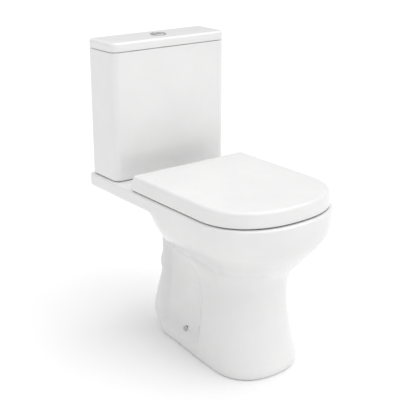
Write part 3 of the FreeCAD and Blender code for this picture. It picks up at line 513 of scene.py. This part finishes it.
def bowl_field(x, y, z):
    """Outside of the bowl."""
    rear_y, rear_run, rear_power, rear_width, front_width, nose_y, nose_run = eased_rows(BOWL, z)
    width = tapering_width(y, rear_width, front_width)
    section = oval_field(x, y, width, rear_y, rear_run, rear_power, nose_y, nose_run)
    return np.maximum(section, BOWL_START_Z - z)


def slab_field(x, y, z):
    """Shelf that the cistern stands on, with its rounded back corners."""
    sides = np.abs(x) - (RIM_HALF_WIDTH - SHELF_SIDE_INSET)
    ends = np.maximum(y - BACK_Y, SHELF_FRONT_Y - y)
    plan = round_max(sides, ends, SHELF_CORNER_R)
    return round_max(plan, SHELF_UNDERSIDE_Z - z, SHELF_EDGE_R)


def duct_field(x, y, z):
    """Rib under the shelf that holds the flush waterway."""
    section = round_max(np.abs(x) - DUCT_HALF_WIDTH, DUCT_UNDERSIDE_Z - z, DUCT_EDGE_R)
    return round_max(section, np.maximum(y - DUCT_BACK_Y, DUCT_FRONT_Y - y), DUCT_END_R)


def outer_field(x, y, z):
    """Whole outside of the pan, below the plane of the rim."""
    crease = 7.0 - 2.0 * smoothstep(-120.0, -20.0, y)
    body = soft_min(column_field(x, y, z), bowl_field(x, y, z), crease)
    # This fillet fades out towards the rim, so that it doesn't widen it
    shelf_fillet = 16.0 - 15.0 * smoothstep(376.0, 392.0, z)
    body = soft_min(body, slab_field(x, y, z), shelf_fillet)
    body = np.maximum(body, np.abs(x) - RIM_HALF_WIDTH)
    body = np.maximum(body, NOSE_Y - y)
    body = soft_min(body, duct_field(x, y, z), DUCT_FILLET)
    from_outlet = np.hypot(x, z - OUTLET_Z)
    start = OUTLET_START_Y - y
    collar_ends = np.maximum(y - OUTLET_ROOT_Y, start)
    collar = round_max(from_outlet - OUTLET_COLLAR_R, collar_ends, COLLAR_EDGE_R)
    spigot = round_max(from_outlet - OUTLET_R, np.maximum(y - OUTLET_END_Y, start), SPIGOT_EDGE_R)
    return np.minimum(soft_min(body, collar, COLLAR_FILLET), spigot)


def basin_field(x, y, z):
    """Inside of the bowl."""
    width, rear_y, nose_y = eased_rows(BASIN, z)
    run = 0.5 * (rear_y - nose_y) - 3.0
    section = oval_field(x, y, width, rear_y, run, BASIN_POWER, nose_y, run)
    return np.maximum(section, BASIN_FLOOR_Z - z)


def trap_field(x, y, z):
    """Distance from the middle of the waterway."""
    nearest = None
    for (y0, z0), (y1, z1) in zip(TRAP, TRAP[1:]):
        dy, dz = y1 - y0, z1 - z0
        t = np.clip(((y - y0) * dy + (z - z0) * dz) / (dy * dy + dz * dz), 0.0, 1.0)
        distance = np.sqrt(x * x + (y - y0 - t * dy) ** 2 + (z - z0 - t * dz) ** 2)
        nearest = distance if nearest is None else soft_min(nearest, distance, TRAP_BEND)
    return nearest


def bores_field(x, y, z):
    """Flush way, its gasket seat, the cold water opening, the spigot's bore and every fixing hole."""
    side = np.abs(x)
    from_valve = np.hypot(x, y - VALVE_Y)
    flush = np.maximum(np.hypot(x, z - FLUSH_Z) - FLUSH_R, np.maximum(FLUSH_FRONT_Y - y, y - VALVE_Y))
    well = np.maximum(from_valve - WELL_R, WELL_Z - z)
    seat = np.maximum(from_valve - GASKET_SEAT_R, GASKET_SEAT_Z - z)
    inlet = np.maximum(np.hypot(x - FILL_X, y - VALVE_Y) - FILL_HOLE_R, SHELF_HOLE_Z - z)
    spigot = np.maximum(np.hypot(x, z - OUTLET_Z) - OUTLET_BORE_R, OUTLET_BORE_Y - y)
    coupling = np.maximum(np.hypot(side - COUPLING_X, y - VALVE_Y) - COUPLING_HOLE_R, SHELF_HOLE_Z - z)
    hinge = np.maximum(np.hypot(side - HINGE_X, y - HINGE_Y) - HINGE_HOLE_R, HINGE_HOLE_Z - z)
    pocket = np.maximum(np.abs(side - POCKET_X[0]) - POCKET_X[1], np.abs(y - POCKET_Y[0]) - POCKET_Y[1])
    pocket = np.maximum(pocket, np.maximum(POCKET_Z - z, z - (RIM_Z - DECK)))
    depth = math.sqrt(0.5) * (SCREW_X - side + SCREW_Z - z)
    offset = (side - SCREW_X) ** 2 + (y - SCREW_Y) ** 2 + (z - SCREW_Z) ** 2
    from_screw = np.sqrt(np.maximum(offset - depth * depth, 0.0))
    spot_face = np.maximum(from_screw - SPOT_FACE_R, depth - SPOT_FACE_DEPTH)
    screw = np.minimum(spot_face, np.maximum(from_screw - SCREW_HOLE_R, depth - SCREW_HOLE_DEPTH))
    return np.minimum.reduce(np.broadcast_arrays(
        flush, well, seat, inlet, spigot, coupling, hinge, pocket, screw))


def pan_field(x, y, z):
    """The whole pan: negative inside the clay."""
    outside = outer_field(x, y, z)
    basin = basin_field(x, y, z)
    trap = trap_field(x, y, z)
    shell = round_max(outside, z - RIM_Z, RIM_EDGE_R)
    shell = np.maximum(shell, -z)
    water = soft_min(basin, trap - TRAP_R, SUMP_FILLET)
    flush_rib = np.hypot(x, z - FLUSH_Z) - (FLUSH_R + FLUSH_WALL)
    flush_rib = np.maximum(flush_rib, np.maximum(FLUSH_FRONT_Y - y, y - VALVE_Y - FLUSH_PAST_VALVE))
    # The hollow between the outer skin and the basin, trap and flush way
    inner = np.maximum(outside + WALL, z - (RIM_Z - DECK))
    inner = np.maximum(inner, WALL - basin)
    inner = np.maximum(inner, TRAP_R + TRAP_WALL - trap)
    inner = np.maximum(inner, -flush_rib)
    pan = round_max(shell, -water, RIM_MOUTH_R)
    pan = np.maximum(pan, -inner)
    return np.maximum(pan, -bores_field(x, y, z))


def build_pan():
    """Vitreous china pan."""
    step = 3.2
    low = np.array([-RIM_HALF_WIDTH, NOSE_Y, 0.0])
    high = np.array([RIM_HALF_WIDTH, BACK_Y, RIM_Z])
    field_piece(
        "pan_glazed", pan_field, low, high, step, "ceramic_white", "frame",
        "pan_bowl", "pan_shelf", "pan_column", "pan_outlet")


# ---- swept shells -----------------------------------------------------------------------------
def arc(centre_x, centre_y, radius, start, end, steps):
    """Points on an arc between two angles in degrees."""
    angles = np.radians(np.linspace(start, end, steps + 1))
    return np.stack([centre_x + radius * np.cos(angles), centre_y + radius * np.sin(angles)], 1)


def fillet(inset, z, radius, start, end, steps=6):
    """(inset, z) pairs round the rounded edge of a wall."""
    return [tuple(pair) for pair in arc(inset, z, radius, start, end, steps)]


def block_ring(half_width, front_y, back_y, front_r, back_r, inset):
    """Outline of an upright block with round corners, moved inwards, anticlockwise from above."""
    x, y0, y1 = half_width - inset, front_y + inset, back_y - inset
    front, back = max(front_r - inset, 2.0), max(back_r - inset, 2.0)
    return np.concatenate([
        arc(x - front, y0 + front, front, -90, 0, 12),
        arc(x - back, y1 - back, back, 0, 90, 8),
        arc(back - x, y1 - back, back, 90, 180, 8),
        arc(front - x, y0 + front, front, 180, 270, 12),
    ])


def ring_faces(count, rings):
    """Quads between rings of points, with a cap at each end."""
    faces = []
    for k in range(rings - 1):
        low, high = k * count, (k + 1) * count
        for i in range(count):
            j = (i + 1) % count
            faces.append((low + i, low + j, high + j, high + i))
    faces.append(tuple(range(count - 1, -1, -1)))
    faces.append(tuple(range((rings - 1) * count, rings * count)))
    return faces


def ring_solid(outline, profile):
    """Vertices and faces through outlines at (inset, z) pairs, capped at both ends."""
    rings = []
    for inset, z in profile:
        plan = outline(inset)
        rings.append(np.column_stack([plan, np.full(len(plan), z)]))
    return np.concatenate(rings), ring_faces(len(rings[0]), len(rings))


def rod_mesh(radius, base, length, axis=2, sides=40):
    """Vertices and faces of a round bar along one axis."""
    angles = np.linspace(0, 2 * math.pi, sides, endpoint=False)
    vertices = np.zeros((2 * sides, 3))
    across = (axis + 1) % 3, (axis + 2) % 3
    for end in (0, 1):
        part = slice(end * sides, (end + 1) * sides)
        vertices[part, across[0]] = base[across[0]] + radius * np.cos(angles)
        vertices[part, across[1]] = base[across[1]] + radius * np.sin(angles)
        vertices[part, axis] = base[axis] + end * length
    return vertices, ring_faces(sides, 2)


def block_mesh(low, high):
    """Vertices and faces of a box between two corners."""
    corners = [(x, y, z) for z in (low[2], high[2]) for x, y in (
        (low[0], low[1]), (high[0], low[1]), (high[0], high[1]), (low[0], high[1]))]
    faces = [(3, 2, 1, 0), (4, 5, 6, 7), (0, 1, 5, 4), (1, 2, 6, 5), (2, 3, 7, 6), (3, 0, 4, 7)]
    return np.array(corners, float), faces


def combine(piece, shapes, operation):
    """Cut shapes out of a piece, or join them to it, and keep the result as its mesh."""
    for vertices, faces in shapes:
        mesh = bpy.data.meshes.new("tool")
        mesh.from_pydata((np.asarray(vertices) * MM).tolist(), [], faces)
        tool = bpy.data.objects.new("tool", mesh)
        bpy.context.scene.collection.objects.link(tool)
        modifier = piece.modifiers.new("combine", "BOOLEAN")
        modifier.operation = operation
        modifier.solver = "EXACT"
        modifier.object = tool
        bpy.context.view_layer.update()
        evaluated = piece.evaluated_get(bpy.context.evaluated_depsgraph_get())
        result = bpy.data.meshes.new_from_object(evaluated)
        piece.modifiers.clear()
        before = piece.data
        piece.data = result
        bpy.data.meshes.remove(before)
        bpy.data.objects.remove(tool)
        bpy.data.meshes.remove(mesh)
    slot_material = piece.data.materials[0]
    piece.data.materials.clear()
    piece.data.materials.append(slot_material)
    piece.data.shade_smooth()
    piece.data.set_sharp_from_angle(angle=math.radians(SHARP_ANGLE))


# ---- cistern ----------------------------------------------------------------------------------
CISTERN_WALL = 9.0
CISTERN_FLOOR = 12.0
CORNER_R = 20.0
BACK_CORNER_R = 10.0
VALVE_HOLE_R = 31.5
FILL_SHANK_HOLE_R = 11.5
BOLT_HOLE_R = 5.0
WALL_HOLE_R = 4.0
BUTTON_HOLE_R = 19.5
CISTERN_FOOT_R = 5.0
CISTERN_LIP_R = 2.5
CISTERN_INNER_R = 4.0
LID_LIP = 9.0
LID_LIP_INSET = 11.0
LID_LIP_WALL = 6.0
LID_THICKNESS = 10.0
LID_FOOT_R = 1.5
LID_EDGE_R = 8.0
WALL_HOLE_X = 110.0
WALL_HOLE_Z = 715.0


def cistern_outline(inset):
    """Plan of the cistern, moved inwards."""
    return block_ring(CISTERN_HIGH[0], CISTERN_LOW[1], CISTERN_HIGH[1], CORNER_R, BACK_CORNER_R, inset)


def build_cistern():
    """Open-topped tank with its holes for valves, bolts and wall screws."""
    z0, z1 = CISTERN_LOW[2], CISTERN_HIGH[2]
    floor = z0 + CISTERN_FLOOR
    foot, lip, inner = CISTERN_FOOT_R, CISTERN_LIP_R, CISTERN_INNER_R
    profile = [(foot + 2.0, z0)]
    profile += fillet(foot, z0 + foot, foot, 270, 180)
    profile += fillet(lip, z1 - lip, lip, 180, 90, 4)
    profile += fillet(CISTERN_WALL - lip, z1 - lip, lip, 90, 0, 4)
    profile += fillet(CISTERN_WALL + inner, floor + inner, inner, 180, 270, 4)
    profile.append((CISTERN_WALL + inner + 2.0, floor))
    vertices, faces = ring_solid(cistern_outline, profile)
    piece = make_piece("cistern_glazed", vertices, faces, "ceramic_white", "frame", "cistern_body")
    holes = [rod_mesh(VALVE_HOLE_R, (0, VALVE_Y, z0 - 5), 30, sides=72)]
    holes.append(rod_mesh(FILL_SHANK_HOLE_R, (FILL_X, VALVE_Y, z0 - 5), 30))
    for side in (-1, 1):
        holes.append(rod_mesh(BOLT_HOLE_R, (side * COUPLING_X, VALVE_Y, z0 - 5), 30))
        wall_hole = (side * WALL_HOLE_X, CISTERN_HIGH[1] - 20, WALL_HOLE_Z)
        holes.append(rod_mesh(WALL_HOLE_R, wall_hole, 30, axis=1))
    combine(piece, holes, "DIFFERENCE")


def build_cistern_lid():
    """Lid with a soft top edge, a locating lip and the button hole."""
    z0 = LID_LOW[2] + LID_LIP
    z1 = LID_HIGH[2]
    ceiling = z1 - LID_THICKNESS
    inner = LID_LIP_INSET + LID_LIP_WALL
    profile = [(14.0, ceiling), (12.0, ceiling), (12.0, z0 + 2), (inner, z0 + 2), (inner, z0 - LID_LIP)]
    profile += [(LID_LIP_INSET, z0 - LID_LIP), (LID_LIP_INSET, z0)]
    profile += fillet(LID_FOOT_R, z0 + LID_FOOT_R, LID_FOOT_R, 270, 180, 4)
    profile += fillet(LID_EDGE_R, z1 - LID_EDGE_R, LID_EDGE_R, 180, 90, 10)
    profile.append((LID_EDGE_R + 2.0, z1))
    vertices, faces = ring_solid(cistern_outline, profile)
    piece = make_piece(
        "cistern_lid_glazed", vertices, faces, "ceramic_white", "cistern_lid", "cistern_lid")
    combine(piece, [rod_mesh(BUTTON_HOLE_R, (0, VALVE_Y, z1 - 30), 40, sides=64)], "DIFFERENCE")


# ---- buttons ----------------------------------------------------------------------------------
BUTTON_R = 16.0
BUTTON_SPLIT_X = -3.0
BEZEL_R = BEZEL_HIGH[0]
BEZEL_FLOOR_Z = 760.0
ROD_X = 10.0
ROD_Y = 7.0
ROD_HOLE_R = 3.0
DOME_R = 46.0
BUTTON_EDGE_R = 1.8
HALF_GAP = 0.5
SLEEVE_R = 18.5
SLIDE_GAP = 0.4
FLANGE_HALF_HEIGHT = 1.25
FLANGE_EDGE_R = 1.2


def button_field(side):
    """One part of the domed button: side 1 is the wide one."""
    def field(x, y, z):
        across = np.hypot(x, y - VALVE_Y)
        dome = np.sqrt(across * across + (z - BUTTON_HIGH[2] + DOME_R) ** 2) - DOME_R
        disc = round_max(across - BUTTON_R, dome, BUTTON_EDGE_R)
        disc = np.maximum(disc, BUTTON_LOW[2] - z)
        return round_max(disc, side * (BUTTON_SPLIT_X - x) + HALF_GAP, 0.7)

    return field


def bezel_field(x, y, z):
    """Ring and sleeve that the buttons slide in, with a floor that the push rods pass through."""
    across = np.hypot(x, y - VALVE_Y)
    from_middle = np.abs(z - 0.5 * (BEZEL_HIGH[2] + LID_HIGH[2]))
    flange = round_max(across - BEZEL_R, from_middle - FLANGE_HALF_HEIGHT, FLANGE_EDGE_R)
    sleeve = np.maximum(across - SLEEVE_R, np.maximum(BEZEL_LOW[2] - z, z - BEZEL_HIGH[2] + 0.6))
    bore = np.maximum(across - BUTTON_R - SLIDE_GAP, BEZEL_FLOOR_Z - z)
    wide = np.hypot(x - ROD_X, y - VALVE_Y + ROD_Y) - ROD_HOLE_R
    narrow = np.hypot(x + ROD_X, y - VALVE_Y - ROD_Y) - ROD_HOLE_R
    openings = np.minimum(bore, np.minimum(wide, narrow))
    return round_max(np.minimum(flange, sleeve), -openings, 0.5)


def build_buttons():
    """Two part button and its ring, chromed."""
    step = 0.8
    low = np.array([-BUTTON_R, VALVE_Y - BUTTON_R, BUTTON_LOW[2]])
    high = np.array([BUTTON_R, VALVE_Y + BUTTON_R, BUTTON_HIGH[2]])
    parts = ((1, "full_button", "full_flush_button"), (-1, "half_button", "half_flush_button"))
    for side, body, node in parts:
        field_piece(f"{body}_dome", button_field(side), low, high, step, "chrome", body, node)
    field_piece(
        "bezel_ring", bezel_field, BEZEL_LOW, BEZEL_HIGH, step, "chrome", "cistern_lid", "button_bezel")


# ---- seat -------------------------------------------------------------------------------------
SEAT_HALF_WIDTH = COVER_HIGH[0]
SEAT_BACK_Y = 120.0
SEAT_CORNER_R = 14.0
SEAT_NOSE_Y = COVER_LOW[1]
NOSE_START_Y = -158.0
KNUCKLE_BORE_R = 4.06
KNUCKLE_R = 9.0
KNUCKLE_X = (46.0, 66.5)
WEB_FRONT_Y = 110
WEB_TOP_Z = 447
COVER_WALL = 5.0
COVER_CORNER_R = 10.0


def seat_outline(inset):
    """D outline of the seat lid: straight back, round corners, straight sides and a rounded nose."""
    x, back, nose = SEAT_HALF_WIDTH - inset, SEAT_BACK_Y - inset, SEAT_NOSE_Y + inset
    corner = max(SEAT_CORNER_R - inset, 4.0)
    angles = np.linspace(0, math.pi, 97)
    side = np.cos(angles)
    x_nose = x * np.sign(side) * np.abs(side) ** (2 / NOSE_POWER)
    y_nose = NOSE_START_Y - (NOSE_START_Y - nose) * np.sin(angles) ** (2 / NOSE_POWER)
    straight = np.linspace(NOSE_START_Y, back - corner, 16)[1:-1]
    return np.concatenate([
        np.stack([-x_nose, y_nose], 1),
        np.stack([np.full(14, x), straight], 1),
        arc(x - corner, back - corner, corner, 0, 90, 10),
        arc(corner - x, back - corner, corner, 90, 180, 10),
        np.stack([np.full(14, -x), straight[::-1]], 1),
    ])


def web_mesh(x0, x1, radius, front_y, low_z, high_z):
    """Hinge knuckle with the web that carries it, as one outline swept across."""
    plan = [(front_y, low_z)]
    plan += [tuple(p) for p in arc(HINGE_Y, HINGE_Z, radius, -90, 90, 20)]
    plan.append((front_y, high_z))
    return np.array([(x, y, z) for x in (x0, x1) for y, z in plan]), ring_faces(len(plan), 2)


def build_seat_lid():
    """Wrap-over lid: crowned top, flared side, soft top edge, notch and knuckles at the back."""
    z0, z1 = COVER_LOW[2], COVER_HIGH[2]
    ceiling = z1 - COVER_WALL
    profile = [(34.0, ceiling - 0.6), (14.0, ceiling - 1.6)]
    profile += fillet(12.6, ceiling - 9.6, 7.0, 90, 180, 6)
    profile += [(4.0, z0 + 1.0), (3.4, z0), (0.8, z0), (0.1, z0 + 0.8), (0.0, z0 + 3.0)]
    profile += [(0.6, z0 + 10.0), (1.5, z0 + 18.0), (2.4, z0 + 24.0)]
    profile += fillet(13.0, z1 - 12.0, COVER_CORNER_R, 172, 96, 9)
    crown = [(14.5, 1.85), (22.0, 1.35), (40.0, 0.8), (70.0, 0.35), (100.0, 0.1), (118.0, 0.0)]
    profile += [(inset, z1 - drop) for inset, drop in crown]
    vertices, faces = ring_solid(seat_outline, profile)
    piece = make_piece("seat_lid_moulded", vertices, faces, "seat_white", "seat_lid", "seat_lid")
    notch = block_mesh((-120, 100, z0 - 1), (120, 130, z1 - 10.5))
    combine(piece, [notch], "DIFFERENCE")
    for side in (-1, 1):
        x0, x1 = sorted((side * KNUCKLE_X[0], side * KNUCKLE_X[1]))
        rib = block_mesh((x0, 104, WEB_TOP_Z), (x1, 116, z1 - 4))
        web = web_mesh(x0, x1, KNUCKLE_R, WEB_FRONT_Y, HINGE_Z, WEB_TOP_Z)
        combine(piece, [web, rib], "UNION")
        bore = rod_mesh(KNUCKLE_BORE_R, (x0 - 1, HINGE_Y, HINGE_Z), x1 - x0 + 2, axis=0)
        combine(piece, [bore], "DIFFERENCE")


build_pan()
build_cistern()
build_cistern_lid()
build_buttons()
build_seat_lid()


# ---- stage ------------------------------------------------------------------------------------
def pale_floor():
    """Plain pale floor that fills the view."""
    size = 30.0
    mesh = bpy.data.meshes.new("studio_floor")
    corners = [(-size, -size, 0), (size, -size, 0), (size, size, 0), (-size, size, 0)]
    mesh.from_pydata(corners, [], [(0, 1, 2, 3)])
    material, tree, shader = new_material("pale_floor")
    tone = ramp(tree, noise(tree, 0.6, 2.0), (0.93, 0.93, 0.93), (0.95, 0.95, 0.95))
    tree.links.new(tone, shader.inputs["Base Color"])
    shader.inputs["Roughness"].default_value = 0.6
    shader.inputs["Specular IOR Level"].default_value = 0.15
    mesh.materials.append(material)
    floor = bpy.data.objects.new("studio_floor", mesh)
    bpy.context.scene.collection.objects.link(floor)


def aim(thing, place, target):
    """Put a light or camera at a place, looking at a target."""
    thing.location = place
    thing.rotation_mode = "QUATERNION"
    thing.rotation_quaternion = (Vector(target) - Vector(place)).to_track_quat("-Z", "Y")


def soft_sun(name, place, strength, width):
    """Even light from one side, with shadows as soft as its width in degrees."""
    data = bpy.data.lights.new(name, "SUN")
    data.energy = strength
    data.angle = math.radians(width)
    light = bpy.data.objects.new(name, data)
    bpy.context.scene.collection.objects.link(light)
    aim(light, place, (0, 0, 0))


def studio_world(low, high):
    """Pale surroundings, darker near the horizon and brighter overhead."""
    world = bpy.data.worlds.new("studio")
    world.use_nodes = True
    tree = world.node_tree
    coordinates = tree.nodes.new("ShaderNodeTexCoord")
    split = tree.nodes.new("ShaderNodeSeparateXYZ")
    strength = tree.nodes.new("ShaderNodeMapRange")
    strength.interpolation_type = "SMOOTHSTEP"
    strength.inputs["From Min"].default_value = 0.02
    strength.inputs["From Max"].default_value = 0.30
    strength.inputs["To Min"].default_value = low
    strength.inputs["To Max"].default_value = high
    tree.links.new(coordinates.outputs["Generated"], split.inputs["Vector"])
    tree.links.new(split.outputs["Z"], strength.inputs["Value"])
    tree.links.new(strength.outputs["Result"], tree.nodes["Background"].inputs["Strength"])
    tree.nodes["Background"].inputs["Color"].default_value = (1, 1, 1, 1)
    bpy.context.scene.world = world


def camera():
    """Three quarter view from the front left, a little above the seat."""
    azimuth, elevation = math.radians(-37.5), math.radians(19.3)
    distance = 2.345
    target = Vector((0, 0.067, 0.372))
    level = math.cos(elevation)
    back = Vector((math.sin(azimuth) * level, -math.cos(azimuth) * level, math.sin(elevation)))
    data = bpy.data.cameras.new("camera")
    data.lens = 81.45
    data.sensor_width = 36.0
    thing = bpy.data.objects.new("camera", data)
    bpy.context.scene.collection.objects.link(thing)
    aim(thing, target + back * distance, target)
    bpy.context.scene.camera = thing


pale_floor()
studio_world(0.56, 0.74)
soft_sun("key", (0.45, -0.60, 2.0), 1.55, 75.0)
camera()
bpy.context.scene.view_settings.view_transform = "Standard"
